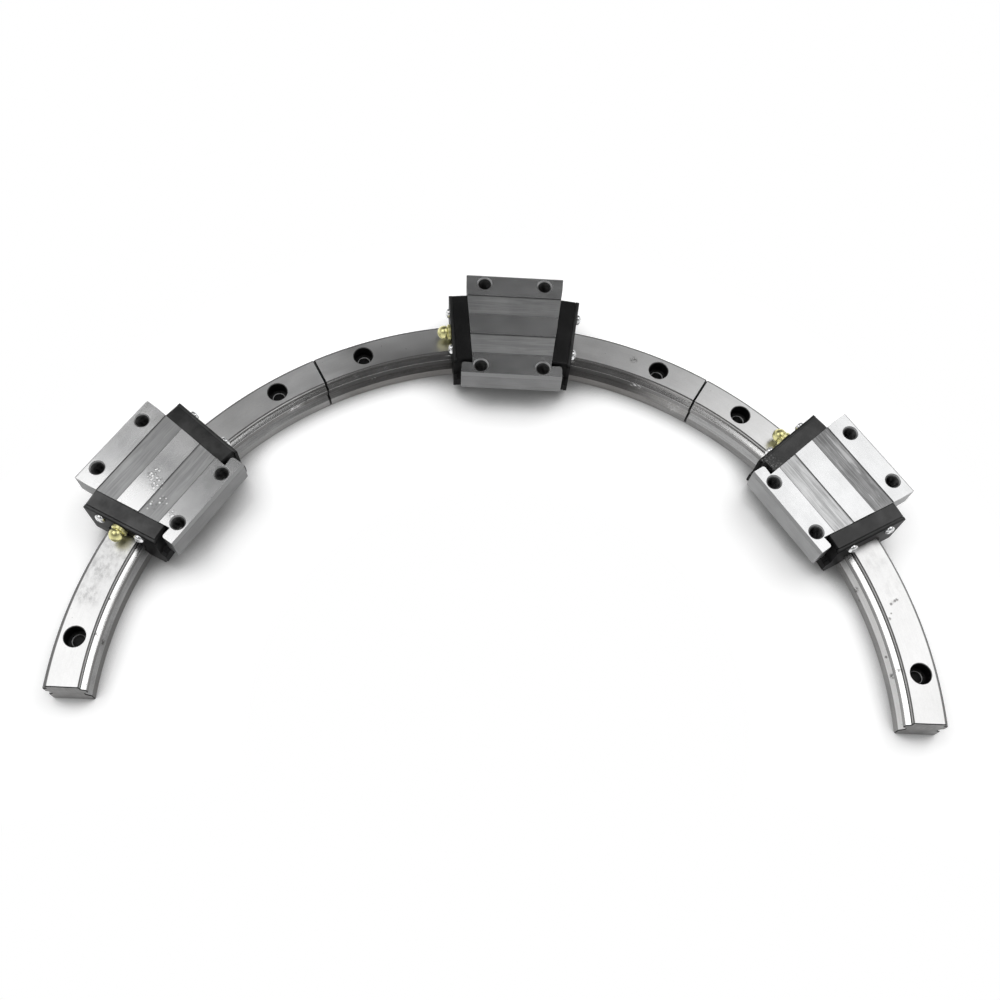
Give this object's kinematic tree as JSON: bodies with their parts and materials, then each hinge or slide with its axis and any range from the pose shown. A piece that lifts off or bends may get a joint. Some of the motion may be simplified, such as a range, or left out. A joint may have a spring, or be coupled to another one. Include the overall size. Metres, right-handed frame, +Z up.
{
  "type": "curved rail guide with carriages",
  "caption": "Half-circle profiled rail in butted arc sections with counterbored holes, carrying flanged ball carriages with threaded holes, black ends and brass grease nipples.",
  "frame": {"origin": "axis of the middle rail section's middle fixing hole at the rail's base plane", "axes": "+X along the rail at the middle of the arc, clockwise seen from above; +Y outwards, away from the arc's centre; +Z up, out of the counterbores"},
  "size_m": [0.315, 0.1735, 0.024],
  "materials": {
    "rail_steel": "ground top, polished raceways, slight stains",
    "block_steel": "ground lands, duller milled grooves and sides",
    "end_plate_plastic": "moulded black",
    "seal_rubber": "moulded black",
    "screw_steel": "bright zinc plate",
    "nipple_brass": "turned, bright"
  },
  "bodies": {
    "rail": {"rail_left": "rail_steel", "rail_middle": "rail_steel", "rail_right": "rail_steel"},
    "left_carriage": {"left_block": "block_steel", "left_end_plate_1": "end_plate_plastic", "left_end_plate_2": "end_plate_plastic", "left_end_seal_1": "seal_rubber", "left_end_seal_2": "seal_rubber", "left_grease_nipple": "nipple_brass"},
    "middle_carriage": {"middle_block": "block_steel", "middle_end_plate_1": "end_plate_plastic", "middle_end_plate_2": "end_plate_plastic", "middle_end_seal_1": "seal_rubber", "middle_end_seal_2": "seal_rubber", "middle_grease_nipple": "nipple_brass"},
    "right_carriage": {"right_block": "block_steel", "right_end_plate_1": "end_plate_plastic", "right_end_plate_2": "end_plate_plastic", "right_end_seal_1": "seal_rubber", "right_end_seal_2": "seal_rubber", "right_grease_nipple": "nipple_brass"}
  },
  "joints": [
    {"name": "left_carriage_travel", "type": "hinge", "parent": "rail", "child": "left_carriage", "pos_m": [0, -0.15, 0], "axis": [0, 0, -1], "range_deg": [-19, 17]},
    {"name": "middle_carriage_travel", "type": "hinge", "parent": "rail", "child": "middle_carriage", "pos_m": [0, -0.15, 0], "axis": [0, 0, -1], "range_deg": [-17, 15]},
    {"name": "right_carriage_travel", "type": "hinge", "parent": "rail", "child": "right_carriage", "pos_m": [0, -0.15, 0], "axis": [0, 0, -1], "range_deg": [-15, 24]}
  ]
}
